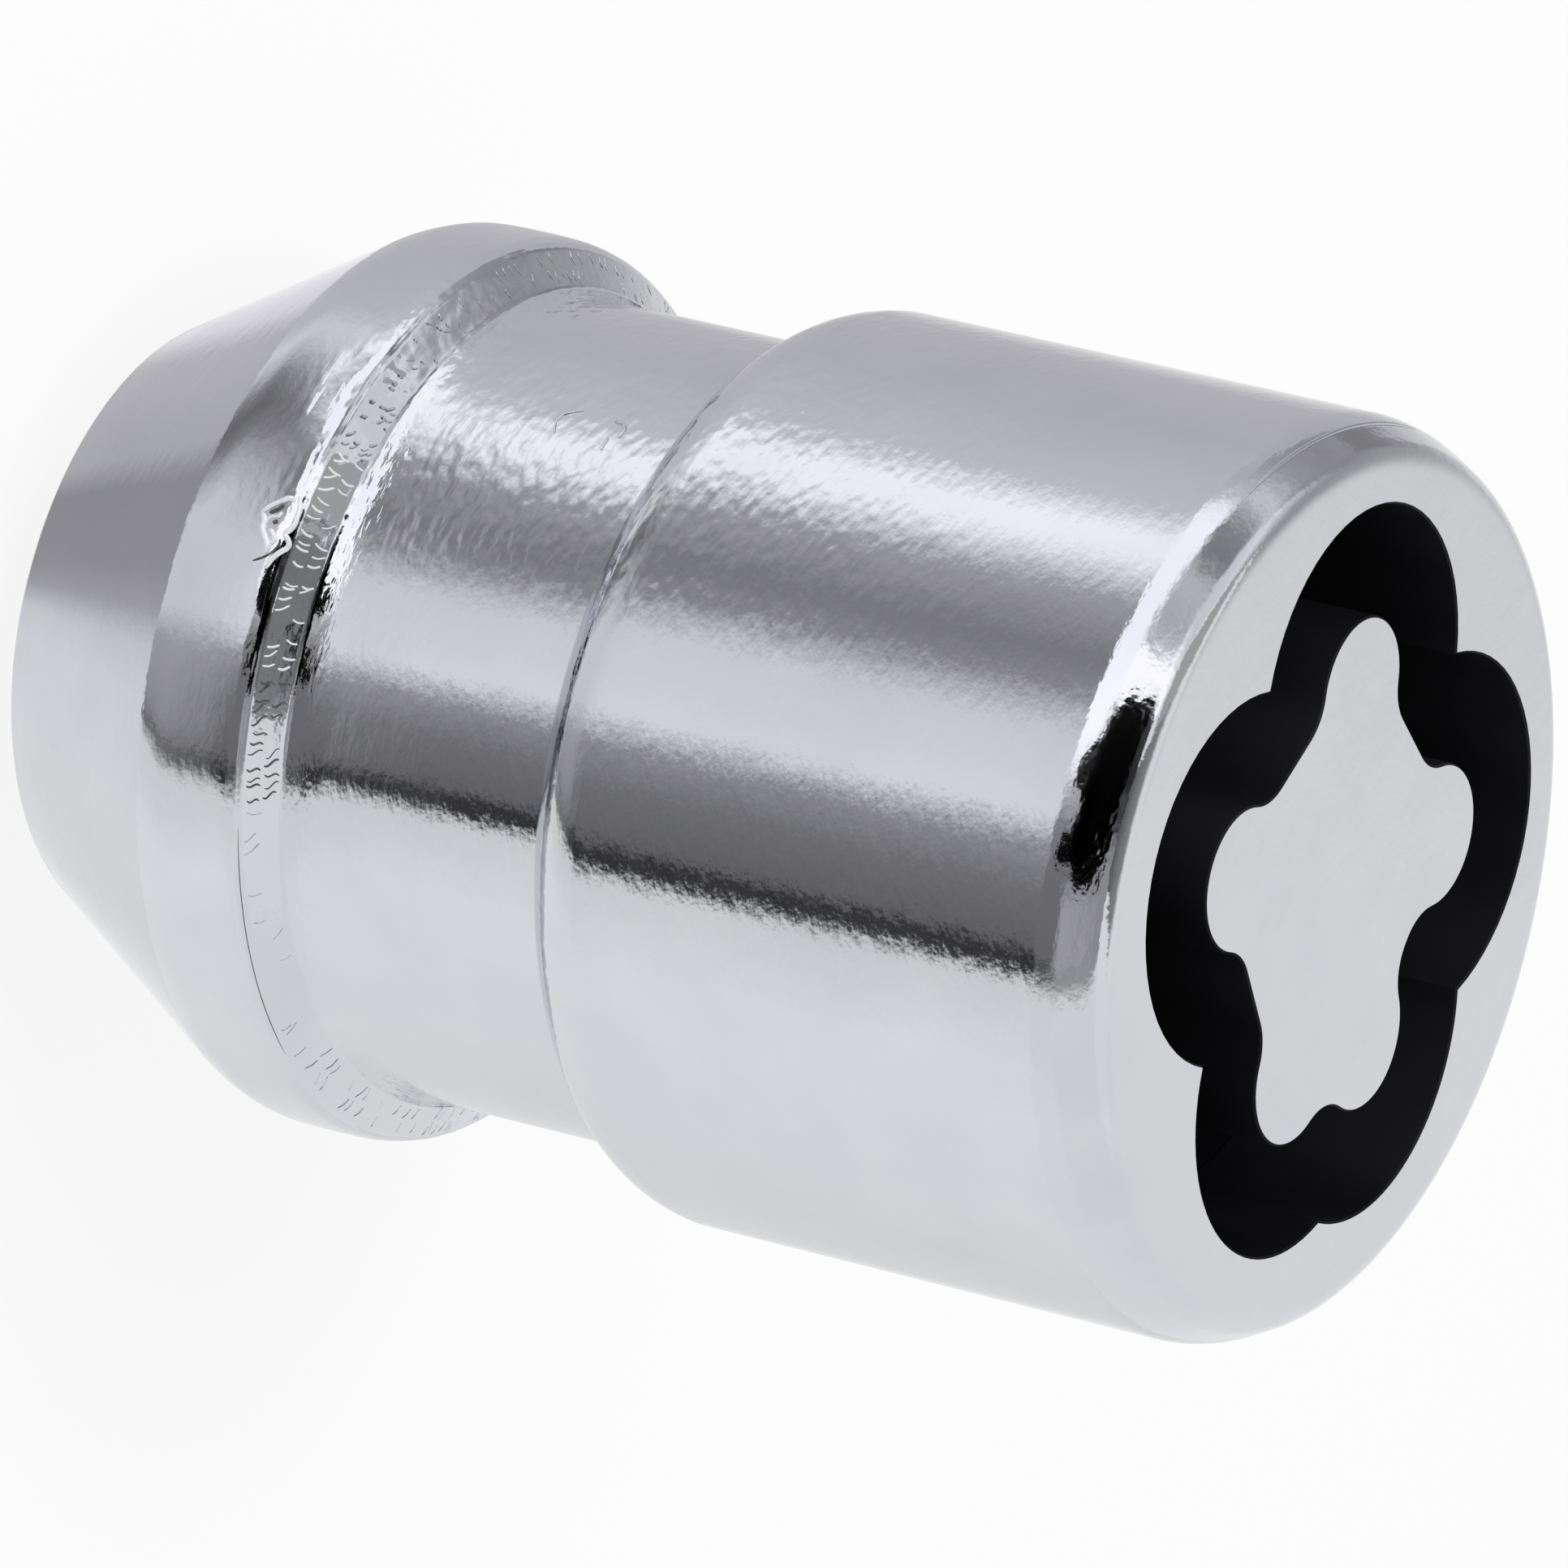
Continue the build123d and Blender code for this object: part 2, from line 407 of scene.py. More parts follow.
def valley_points(start_angle, end_angle, offset):
    """Outline between two lobes, at an offset from the post's wall."""
    outward, chord_distance, half_chord = valley_chord(start_angle, end_angle)
    lobe_radius = KEY_LOBE_RADIUS + offset
    valley_radius = KEY_VALLEY_RADIUS - offset
    if valley_radius <= 0:
        # So far out the fillets are gone, and the grown lobes meet in one point
        return [KEY_CENTRE + outward * (chord_distance + math.sqrt(lobe_radius**2 - half_chord**2))]
    arcs = []
    for angle, centre in zip((start_angle, end_angle), fillet_centres(start_angle, end_angle)):
        lobe = lobe_centre(angle)
        on_lobe = lobe + (centre - lobe).normalized() * lobe_radius
        on_flat = centre - outward * valley_radius
        ends = (on_flat, on_lobe) if arcs else (on_lobe, on_flat)
        arcs += arc_points(centre, *ends, VALLEY_STEPS, -1)
    return arcs


def track_outline(offset):
    """Closed outline around the post, at an offset from its wall."""
    following = KEY_LOBE_ANGLES[1:] + (KEY_LOBE_ANGLES[0] + 360,)
    valleys = [valley_points(start, end, offset) for start, end in zip(KEY_LOBE_ANGLES, following)]
    outline = []
    for index, angle in enumerate(KEY_LOBE_ANGLES):
        start = valleys[index - 1][-1]
        outline += arc_points(lobe_centre(angle), start, valleys[index][0], LOBE_STEPS, 1)[1:-1]
        outline += valleys[index]
    return outline


class Shell:
    """Points and faces of one mesh, in millimetres."""

    def __init__(self):
        self.points = []
        self.faces = []
        self.slots = []

    def ring(self, points):
        """Adds a closed ring of points."""
        first = len(self.points)
        self.points += [Vector(point) for point in points]
        return range(first, len(self.points))

    def level_ring(self, outline, height):
        """Adds an outline at one height."""
        return self.ring([(point.x, point.y, height) for point in outline])

    def face(self, corners, slot=FIRST_SLOT):
        """Adds one face."""
        self.faces.append(corners)
        self.slots.append(slot)

    def bridge(self, lower, upper, slot=FIRST_SLOT):
        """Joins two rings. One of them may have a multiple of the other's points."""
        if len(lower) < len(upper):
            lower, upper = upper, lower
        ratio = len(lower) // len(upper)
        for index, near in enumerate(upper):
            following = upper[(index + 1) % len(upper)]
            fan = [lower[(index * ratio + step) % len(lower)] for step in range(ratio + 1)]
            for first, second in zip(fan[:-2], fan[1:-1]):
                self.face((first, second, near), slot)
            self.face((fan[-2], fan[-1], following, near), slot)

    def fill(self, rings, slot=FIRST_SLOT):
        """Fills the flat area inside the first ring and outside the others."""
        indices = [index for ring in rings for index in ring]
        outlines = [[self.points[index] for index in ring] for ring in rings]
        for corners in tessellate_polygon(outlines):
            self.face([indices[corner] for corner in corners], slot)

    def to_object(self, name, materials):
        """Makes a closed mesh object in metres."""
        mesh = bpy.data.meshes.new(name)
        mesh.from_pydata([point * MM for point in self.points], [], self.faces)
        for material in materials:
            mesh.materials.append(material)
        mesh.polygons.foreach_set("material_index", self.slots)
        work = bmesh.new()
        work.from_mesh(mesh)
        bmesh.ops.remove_doubles(work, verts=work.verts, dist=MM * WELD_DISTANCE)
        bmesh.ops.dissolve_degenerate(work, edges=work.edges, dist=MM * WELD_DISTANCE)
        bmesh.ops.recalc_face_normals(work, faces=work.faces)
        for face in work.faces:
            face.smooth = True
        work.to_mesh(mesh)
        work.free()
        mesh.set_sharp_from_angle(angle=math.radians(SHARP_ANGLE))
        piece = bpy.data.objects.new(name, mesh)
        bpy.context.scene.collection.objects.link(piece)
        return piece


def circle(radius, count):
    """Evenly spaced points, from the side that the camera sees."""
    steps = [2 * math.pi * step / count for step in range(count)]
    return [Vector((radius * math.sin(step), -radius * math.cos(step))) for step in steps]


def thread_section():
    """Offsets along the axis, and radii, of the four edges of one turn of the thread."""
    flank = (THREAD_PITCH - CREST_WIDTH - ROOT_WIDTH) / 2
    return (
        (0.0, MINOR_RADIUS),
        (CREST_WIDTH, MINOR_RADIUS),
        (CREST_WIDTH + flank, MAJOR_RADIUS),
        (CREST_WIDTH + flank + ROOT_WIDTH, MAJOR_RADIUS),
    )


def helix_row(turn, offset, radius):
    """One turn of an edge of the thread, which stays on the plain wall at the two ends of the hole."""
    row = []
    for step, spot in enumerate(circle(1.0, THREAD_POINTS)):
        height = thread_start + (turn + step / THREAD_POINTS) * THREAD_PITCH + offset
        reach = radius if thread_start < height < BORE_DEPTH else MINOR_RADIUS
        row.append((spot.x * reach, spot.y * reach, min(max(height, thread_start), BORE_DEPTH)))
    return row


def add_thread(shell):
    """Helix of the thread, from the countersink to the end of the wall."""
    section = thread_section()
    turns = math.ceil((BORE_DEPTH - thread_start) / THREAD_PITCH) + 1
    rows = []
    for turn in range(-1, turns):
        for offset, radius in section:
            rows.append(shell.ring(helix_row(turn, offset, radius)))
    for index in range(len(rows) - len(section) - 1):
        for step in range(THREAD_POINTS):
            # The end of a row meets the start of the same edge's next turn
            wrap = step + 1 == THREAD_POINTS
            low = rows[index + len(section)][0] if wrap else rows[index][step + 1]
            high = rows[index + len(section) + 1][0] if wrap else rows[index + 1][step + 1]
            shell.face((rows[index][step], low, high, rows[index + 1][step]))


def add_hole(shell, mouth):
    """Countersink, thread and drill point, from the ring at the mouth of the hole."""
    add_thread(shell)
    throat = shell.level_ring(circle(MINOR_RADIUS, THREAD_POINTS), thread_start)
    shell.bridge(mouth, throat)
    floor = shell.level_ring(circle(MINOR_RADIUS, THREAD_POINTS), BORE_DEPTH)
    tip = shell.ring([(0.0, 0.0, bore_tip)])
    for step in range(THREAD_POINTS):
        shell.face((floor[step], floor[(step + 1) % THREAD_POINTS], tip[0]))


def add_key_groove(shell, face_edge):
    """Key face, groove and post, inside the edge of the flat."""
    rims = []
    floors = []
    for wall, break_side in ((KEY_GROOVE_WIDTH, 1), (0.0, -1)):
        rim = shell.level_ring(track_outline(wall + break_side * KEY_EDGE_BREAK), LENGTH)
        edge = shell.level_ring(track_outline(wall), LENGTH - KEY_EDGE_BREAK)
        floor = shell.level_ring(track_outline(wall), groove_floor)
        shell.bridge(rim, edge, GROOVE_SLOT)
        shell.bridge(edge, floor, GROOVE_SLOT)
        rims.append(rim)
        floors.append(floor)
    shell.fill([face_edge, rims[0]])
    shell.fill([rims[1]])
    shell.fill(floors, GROOVE_SLOT)


def make_nut(chrome, black):
    """The whole nut as one closed mesh."""
    shell = Shell()
    rings = [shell.ring(ring) for ring in outside_rings()]
    for lower, upper in zip(rings[:-1], rings[1:]):
        shell.bridge(lower, upper)
    add_hole(shell, rings[0])
    add_key_groove(shell, rings[-1])
    return shell.to_object("locking_nut", [chrome, black])


def outside_radius(height):
    """Radius of the turned outside at a height."""
    rows = profile_rows()
    for low, high in zip(rows[:-1], rows[1:]):
        if low[1] < height <= high[1]:
            share = (height - low[1]) / (high[1] - low[1])
            return low[0] + (high[0] - low[0]) * share + crown(height)
    return NECK_RADIUS


def smoothed(places):
    """Path through places with its corners cut."""
    for _ in range(CORNER_CUT_ROUNDS):
        cut = [places[0]]
        for first, second in zip(places[:-1], places[1:]):
            cut.append(first.lerp(second, CORNER_CUT_SHARE))
            cut.append(first.lerp(second, 1 - CORNER_CUT_SHARE))
        places = cut + [places[-1]]
    return places


def ridge_path(places):
    """Points on the outside along places given by azimuth and height."""
    path = []
    for azimuth, height in smoothed([Vector(place) for place in places]):
        turn = math.radians(azimuth)
        radius = outside_radius(height) + lip_wear(turn, height)
        path.append(Vector((radius * math.sin(turn), -radius * math.cos(turn), height)))
    return path


def add_ridge(shell, ridge):
    """Thin round ridge half sunk into the outside, tapered at its ends."""
    path = ridge_path(ridge.places)
    rings = []
    for index, place in enumerate(path):
        along = (path[min(index + 1, len(path) - 1)] - path[max(index - 1, 0)]).normalized()
        side = along.cross(Vector((place.x, place.y, 0.0))).normalized()
        outward = side.cross(along)
        share = index / (len(path) - 1)
        radius = ridge.radius * min(1.0, RIDGE_END_SHARE + RIDGE_GROWTH * min(share, 1 - share))
        spots = circle(radius, RIDGE_POINTS)
        rings.append(shell.ring([place + side * spot.x + outward * spot.y for spot in spots]))
    for lower, upper in zip(rings[:-1], rings[1:]):
        shell.bridge(lower, upper)
    for ring in (rings[0], rings[-1]):
        shell.face(list(ring))


def make_ridges(name, ridges, material):
    """One piece of ridges."""
    shell = Shell()
    for ridge in ridges:
        add_ridge(shell, ridge)
    return shell.to_object(name, [material])


def crest_places(bends, azimuth, slant, bow, start, length):
    """Wavy path of one crest. Its start and length are shares of the way from the lip to the root."""
    places = []
    for turn in range(2 * bends + 1):
        share = turn / (2 * bends)
        height = lip_height + (root_height - lip_height) * (start + length * share)
        places.append((azimuth + slant * share + bow * math.sin(math.pi * turn / 2), height))
    return places


def chatter_ridges(zone):
    """Thin wavy crests across the back of the collar in one zone, some of them missing."""
    chance = random.Random(MARK_SEED)
    step = 360 / CHATTER_COUNT
    lane_width = (1 - 2 * CHATTER_MARGIN) / zone.lanes
    ridges = []
    for index in range(round((zone.end - zone.start) / step)):
        for lane in range(zone.lanes):
            azimuth = zone.start + step * (index + chance.uniform(*CHATTER_SHIFT))
            start = CHATTER_MARGIN + lane_width * lane + chance.uniform(*CHATTER_DELAY)
            length = lane_width * chance.uniform(*CHATTER_LENGTH)
            slant = chance.uniform(*CHATTER_SLANT)
            bow = chance.uniform(*CHATTER_BOW)
            radius = zone.radius * chance.uniform(*CHATTER_THICKNESS)
            if chance.random() <= zone.share:
                ridges.append(Ridge(radius, crest_places(zone.bends, azimuth, slant, bow, start, length)))
    return ridges


def scuff_ridges():
    """Short scrapes along the collar's rim, below the worn lip."""
    chance = random.Random(MARK_SEED)
    ridges = []
    for _ in range(SCUFF_COUNT):
        azimuth = chance.uniform(*SCUFF_AZIMUTH)
        height = chance.uniform(*SCUFF_HEIGHT)
        length = chance.uniform(*SCUFF_LENGTH)
        climb = chance.uniform(*SCUFF_CLIMB)
        places = [(azimuth + length * share, height + climb * share) for share in (0.0, 0.5, 1.0)]
        ridges.append(Ridge(SCUFF_RADIUS * chance.uniform(*SCUFF_THICKNESS), places))
    return ridges


# Range that most of a noise lies in
NOISE_LOW = 0.3
NOISE_HIGH = 0.7


class Nodes:
    """Short calls for building a node tree."""

    def __init__(self, tree):
        self.tree = tree
        self.tree.nodes.clear()

    def add(self, kind, **settings):
        """Adds a node."""
        node = self.tree.nodes.new(kind)
        for name, value in settings.items():
            setattr(node, name, value)
        return node

    def feed(self, socket, value):
        """Links another output to a socket, or sets the socket to a number or a colour."""
        if isinstance(value, bpy.types.NodeSocket):
            self.tree.links.new(value, socket)
        else:
            socket.default_value = value

    def show(self, shader, kind="ShaderNodeOutputMaterial"):
        """Makes a shader's output the one that shows."""
        self.feed(self.add(kind).inputs["Surface"], shader)

    def math(self, operation, first, second=0.0):
        """Output of a Math node. Each value is a number or another output."""
        node = self.add("ShaderNodeMath", operation=operation)
        self.feed(node.inputs[0], first)
        self.feed(node.inputs[1], second)
        return node.outputs[0]

    def blend(self, share, first, second):
        """Colour between two colours, each given as a colour or another output."""
        node = self.add("ShaderNodeMix", data_type="RGBA")
        self.feed(node.inputs["Factor"], share)
        self.feed(node.inputs["A"], first)
        self.feed(node.inputs["B"], second)
        return node.outputs["Result"]

    def place(self):
        """Outputs X, Y and Z of the object's own coordinates."""
        node = self.add("ShaderNodeSeparateXYZ")
        self.feed(node.inputs["Vector"], self.add("ShaderNodeTexCoord").outputs["Object"])
        return node.outputs

    def noise(self, texture):
        """Noise in the object's own coordinates, squeezed along the three axes."""
        mapping = self.add("ShaderNodeMapping")
        self.feed(mapping.inputs["Vector"], self.add("ShaderNodeTexCoord").outputs["Object"])
        self.feed(mapping.inputs["Scale"], texture.squeeze)
        node = self.add("ShaderNodeTexNoise")
        self.feed(node.inputs["Vector"], mapping.outputs["Vector"])
        self.feed(node.inputs["Scale"], texture.scale)
        self.feed(node.inputs["Detail"], texture.detail)
        return node.outputs["Fac"]

    def fade(self, value, start, end):
        """Smooth change from 0 to 1 as a value goes from start to end."""
        node = self.add("ShaderNodeMapRange", interpolation_type="SMOOTHSTEP")
        self.feed(node.inputs["Value"], value)
        self.feed(node.inputs["From Min"], start)
        self.feed(node.inputs["From Max"], end)
        return node.outputs["Result"]

    def spread(self, value, low, high):
        """A noise mapped to a range."""
        node = self.add("ShaderNodeMapRange")
        self.feed(node.inputs["Value"], value)
        self.feed(node.inputs["From Min"], NOISE_LOW)
        self.feed(node.inputs["From Max"], NOISE_HIGH)
        self.feed(node.inputs["To Min"], low)
        self.feed(node.inputs["To Max"], high)
        return node.outputs["Result"]


def new_material(name):
    """New material and its empty node tree."""
    material = bpy.data.materials.new(name)
    material.use_nodes = True
    return material, Nodes(material.node_tree)


# Noise of a surface: waves per metre, how the three axes are squeezed, and how many finer waves it has
Texture = namedtuple("Texture", "scale squeeze detail")
EVEN = (1.0, 1.0, 1.0)

# Metal whose colour and roughness follow one noise
Finish = namedtuple("Finish", "name metallic dark light roughness texture")

CHROME = Finish(
    name="chrome_plate",
    metallic=1.0,
    dark=(0.607, 0.620, 0.652, 1.0),
    light=(0.637, 0.650, 0.681, 1.0),
    roughness=(0.10, 0.06),
    texture=Texture(420.0, EVEN, 3.0),
)

# Bright torn metal of the burr
TORN_METAL = Finish(
    name="torn_metal",
    metallic=0.4,
    dark=(0.86, 0.87, 0.91, 1.0),
    light=(0.95, 0.96, 1.0, 1.0),
    roughness=(0.3, 0.42),
    texture=Texture(6000.0, EVEN, 2.0),
)

# Painted shade: a dark colour on folds and scores, which stands in for the shade in their crevices
CREVICE_SHADE = Finish(
    name="painted_crevice_shade",
    metallic=0.0,
    dark=(0.04, 0.035, 0.035, 1.0),
    light=(0.14, 0.13, 0.13, 1.0),
    roughness=(0.5, 0.7),
    texture=Texture(5000.0, EVEN, 2.0),
)

# Fine relief under the plating: a noise, its height in metres, and the fades that keep it in its place
Fade = namedtuple("Fade", "axis start end")
Relief = namedtuple("Relief", "texture height fades")

STREAKS = Relief(Texture(1900.0, (1.0, 1.0, 2.2), 2.0), 1.0e-5, ())
ORANGE_PEEL = Relief(Texture(8000.0, EVEN, 1.0), 2.2e-6, ())

# Coarser turning marks at the neck's root
ROOT_TURNING = Relief(
    Texture(2200.0, (1.0, 1.0, 3.5), 2.0),
    1.5e-5,
    (Fade("Z", collar_top - 0.2, collar_top), Fade("Z", collar_top + 1.0, collar_top + 0.5)),
)

# Ripples towards -X on the camera's side, full along the neck and faded out over the head and the collar
SIDE_RIPPLES = Relief(
    Texture(2300.0, (1.0, 1.0, 1.8), 0.5),
    3.0e-5,
    (
        Fade("X", -1.5, -4.0),
        Fade("Y", 0.0, -4.0),
        Fade("Z", rim_bottom, head_bottom),
        Fade("Z", seat_top, collar_top),
    ),
)

# Blackened bare steel inside the key groove, with painted shade that makes it darkest on the groove's floor
GROOVE_FLOOR_SHADE_COLOUR = (0.003, 0.003, 0.004, 1.0)
GROOVE_WALL_COLOUR = (0.022, 0.022, 0.026, 1.0)
# Height over which the painted floor shade gives way to the walls' colour
GROOVE_FLOOR_SHADE_FADE = Fade("Z", groove_floor + 0.02, groove_floor + 0.1)
GROOVE_PATCHES = Texture(190.0, (1.0, 1.0, 0.3), 2.0)
GROOVE_SOOT = Texture(700.0, (1.0, 1.0, 0.5), 4.0)
GROOVE_ROUGHNESS = (0.5, 0.65)
GROOVE_SPECULAR = 0.05


def within(nodes, place, value, fades):
    """A value kept to its place by fades along the axes."""
    for fade in fades:
        share = nodes.fade(place[fade.axis], fade.start * MM, fade.end * MM)
        value = nodes.math("MULTIPLY", value, share)
    return value


def relief_normal(nodes, reliefs):
    """Normal of a surface with several kinds of fine relief."""
    place = nodes.place()
    height = 0.0
    for relief in reliefs:
        part = within(nodes, place, nodes.noise(relief.texture), relief.fades)
        height = nodes.math("ADD", height, nodes.math("MULTIPLY", part, relief.height))
    bump = nodes.add("ShaderNodeBump")
    nodes.feed(bump.inputs["Strength"], 1.0)
    nodes.feed(bump.inputs["Distance"], 1.0)
    nodes.feed(bump.inputs["Height"], height)
    return bump.outputs["Normal"]


def metal_material(finish, reliefs=()):
    """Metal of one finish, with any fine relief."""
    material, nodes = new_material(finish.name)
    shader = nodes.add("ShaderNodeBsdfPrincipled")
    nodes.show(shader.outputs["BSDF"])
    nodes.feed(shader.inputs["Metallic"], finish.metallic)
    grain = nodes.noise(finish.texture)
    colour = nodes.blend(nodes.spread(grain, 0.0, 1.0), finish.dark, finish.light)
    nodes.feed(shader.inputs["Base Color"], colour)
    nodes.feed(shader.inputs["Roughness"], nodes.spread(grain, *finish.roughness))
    if reliefs:
        nodes.feed(shader.inputs["Normal"], relief_normal(nodes, reliefs))
    return material


def black_material():
    """Blackened bare steel, with paler patches on the groove's walls and painted shade darkening its floor.
    """
    material, nodes = new_material("groove_black")
    shader = nodes.add("ShaderNodeBsdfPrincipled")
    nodes.show(shader.outputs["BSDF"])
    patches = nodes.spread(nodes.noise(GROOVE_PATCHES), 0.0, 1.0)
    # Painted shade: the floor's darker colour holds at the groove's floor and fades out up the walls
    patches_above_floor_shade = within(nodes, nodes.place(), patches, [GROOVE_FLOOR_SHADE_FADE])
    colour = nodes.blend(patches_above_floor_shade, GROOVE_FLOOR_SHADE_COLOUR, GROOVE_WALL_COLOUR)
    nodes.feed(shader.inputs["Base Color"], colour)
    nodes.feed(shader.inputs["Roughness"], nodes.spread(nodes.noise(GROOVE_SOOT), *GROOVE_ROUGHNESS))
    nodes.feed(shader.inputs["Specular IOR Level"], GROOVE_SPECULAR)
    return material


# Cards that show only in reflections: a round tent with strips of light and shade, whose azimuth is counted
# from the camera's side towards +X, and a ring of floor at the nut's foot
TENT_RADIUS = 130.0
TENT_HEIGHT = 200.0
TENT_CENTRE = (0.0, -5.8)
FOOT_RADIUS = 11.6
FOOT_CENTRE = (0.0, -5.3)
CARD_GAP = 0.1
CARD_POINTS = 180

# The shaded side of the tent is slightly violet
PLAIN_TINT = (1.0, 1.0, 1.0)
SHADE_TINT = (1.008, 0.992, 1.032)
SHADE_START = -150
SHADE_END = 36

# Brightness of the floor close under the seat cone, by azimuth
FOOT_STRIPS = (
    (-180, 0.96), (-126, 0.96), (-105, 0.86), (-95, 0.62), (-62, 0.58), (-50, 0.38), (-16, 0.41),
    (-2, 0.50), (12, 0.82), (30, 0.93), (70, 0.97), (100, 0.90), (130, 0.93), (180, 1.00),
)

# Brightness of the floor beside the nut
NEAR_STRIPS = (
    (-180, 0.96), (-162, 0.86), (-144, 0.58), (-112, 0.63), (-90, 0.70), (-82, 0.90), (-76, 0.70),
    (-68, 0.30), (-60, 0.20), (-52, 0.30), (-44, 0.60), (-34, 0.85), (-4, 0.85), (6, 0.50), (24, 0.40),
    (31, 0.30), (33, 0.15), (39, 0.90), (60, 1.04), (105, 1.00), (152, 0.82), (168, 0.92), (180, 0.96),
)

# Brightness of the open floor, which the neck and the head reflect
MIDDLE_STRIPS = (
    (-180, 0.96), (-162, 0.86), (-144, 0.58), (-112, 0.63), (-86, 0.76), (-77, 1.32), (-70, 1.28),
    (-58, 0.48), (-42, 0.28), (-34, 0.35), (-23, 0.88), (-2, 1.00), (6, 0.38), (16, 0.24), (29, 0.18),
    (32, 0.04), (35, 0.03), (39, 0.90), (60, 1.04), (105, 1.00), (152, 0.82), (168, 0.92), (180, 0.96),
)

# Brightness of the far floor and the foot of the tent
LOW_STRIPS = (
    (-180, 0.96), (-160, 0.85), (-143, 0.60), (-112, 0.60), (-98, 0.62), (-92, 0.75), (-86, 1.25),
    (-80, 1.40), (-66, 1.35), (-60, 1.35), (-46, 1.35), (-40, 1.40), (-22, 1.50), (-16, 1.40), (-8, 0.60),
    (0, 0.30), (12, 0.22), (30, 0.20), (33, 0.06), (39, 0.90), (60, 1.00), (180, 0.96),
)

# Dark stretch a little higher up, which the bevelled rim reflects
RIM_SHADE = (
    (-148, 0.50), (-142, 0.40), (-136, 0.30), (-128, 0.29), (-124, 0.41), (-118, 0.37), (-104, 0.46),
)

# Brightness of the tent at eye height, with the dark place where the camera stands
UPPER_STRIPS = (
    (-180, 0.99), (-150, 0.50), (-128, 0.36), (-108, 0.42), (-102, 0.60), (-96, 0.85), (-91, 0.60),
    (-84, 0.34), (-75, 0.28), (-67, 0.70), (-54, 0.58), (-48, 0.80), (-45, 1.50), (-32, 1.50), (-29, 0.00),
    (2, 0.02), (8, 0.14), (17, 0.48), (31, 0.48), (36, 0.36), (42, 0.95), (180, 0.99),
)

# Brightness of the tent's top
TOP_STRIPS = (
    (-180, 0.97), (-150, 0.50), (-136, 0.42), (-124, 0.50), (-112, 0.75), (-102, 1.00), (-90, 0.90),
    (-64, 0.85), (-54, 1.10), (-48, 1.50), (-40, 1.50), (-36, 0.06), (-15, 0.03), (-10, 0.10), (-6, 0.03),
    (0, 0.24), (8, 0.38), (34, 0.38), (42, 0.95), (180, 0.97),
)


def with_stretch(strips, stretch):
    """Strips in which a stretch takes the place of what lay between its ends."""
    kept = [strip for strip in strips if not stretch[0][0] < strip[0] < stretch[-1][0]]
    return sorted([*kept, *stretch])


Level = namedtuple("Level", "strips start end")

# Each level takes over from the one before between two distances, along the floor and then up the wall
TENT_LEVELS = (
    Level(NEAR_STRIPS, 0.0, 0.0),
    Level(MIDDLE_STRIPS, 18.0, 32.0),
    Level(LOW_STRIPS, 84.0, 98.0),
    Level(with_stretch(LOW_STRIPS, RIM_SHADE), TENT_RADIUS + 8.0, TENT_RADIUS + 14.0),
    Level(UPPER_STRIPS, TENT_RADIUS + 36.0, TENT_RADIUS + 54.0),
    Level(TOP_STRIPS, TENT_RADIUS + 80.0, TENT_RADIUS + 110.0),
)
FOOT_LEVELS = (Level(FOOT_STRIPS, 0.0, 0.0),)

# Dark shape of the camera on two legs, just inside the tent: heights, and azimuths of its two sides
CAMERA_CARD_RADIUS = TENT_RADIUS - 3.0
CAMERA_SHAPES = (
    ((38, -20, 8), (50, -23, 8), (70, -33, 12), (92, -35, 14), (100, -36, 8)),
    ((10, -15, -9), (28, -19, -9), (38, -20, -8)),
    ((10, 2, 8), (28, 1, 8), (38, 0, 8)),
)

Ceiling = namedtuple("Ceiling", "name left right front back brightness")

# Level cards on top of the tent. The shaded one has a share of its brightness at its front edge, and is white
# at its back edge.
SHADED_CEILING = Ceiling("shaded_ceiling", -50.0, 34.0, -135.0, 60.0, 0.29)
SHADED_FRONT_SHARE = 0.5
PALE_CEILING = Ceiling("pale_ceiling", -115.0, -50.0, -60.0, 70.0, 0.5)


def strip_ramp(nodes, turn, strips):
    """Colour that follows a table of brightness by azimuth, slightly violet on the shaded side."""
    ramp = nodes.add("ShaderNodeValToRGB")
    stops = ramp.color_ramp.elements
    while len(stops) < len(strips):
        stops.new(0.5)
    for stop, (degrees, brightness) in zip(stops, strips):
        stop.position = degrees / 360 + 0.5
        tint = SHADE_TINT if SHADE_START < degrees < SHADE_END else PLAIN_TINT
        stop.color = (*(brightness * share for share in tint), 1.0)
    nodes.feed(ramp.inputs["Fac"], turn)
    return ramp.outputs["Color"]


def glowing_material(name):
    """New card material, its nodes and its glow. Cards light nothing, so they aren't sampled as lamps."""
    material, nodes = new_material(name)
    glow = nodes.add("ShaderNodeEmission")
    nodes.show(glow.outputs["Emission"])
    material.cycles.emission_sampling = "NONE"
    return material, nodes, glow


def turn_about(nodes, place, centre):
    """Azimuth about a centre, as a share of a turn that is a half on the camera's side."""
    across = nodes.math("SUBTRACT", place["X"], centre[0] * MM)
    towards_camera = nodes.math("SUBTRACT", centre[1] * MM, place["Y"])
    azimuth = nodes.math("ARCTAN2", across, towards_camera)
    return nodes.math("ADD", nodes.math("DIVIDE", azimuth, 2 * math.pi), 0.5)


def strip_material(name, centre, levels):
    """Glow that changes with the azimuth about a centre, and from level to level."""
    material, nodes, glow = glowing_material(name)
    place = nodes.place()
    turn = turn_about(nodes, place, centre)
    squares = [nodes.math("MULTIPLY", place[axis], place[axis]) for axis in "XY"]
    radius = nodes.math("SQRT", nodes.math("ADD", *squares))
    distance = nodes.math("ADD", radius, place["Z"])
    colour = strip_ramp(nodes, turn, levels[0].strips)
    for level in levels[1:]:
        share = nodes.fade(distance, level.start * MM, level.end * MM)
        colour = nodes.blend(share, colour, strip_ramp(nodes, turn, level.strips))
    nodes.feed(glow.inputs["Color"], colour)
    return material


def card_material(name, brightness):
    """Plain glowing or black card."""
    material, nodes, glow = glowing_material(name)
    nodes.feed(glow.inputs["Color"], (brightness, brightness, brightness, 1.0))
    return material


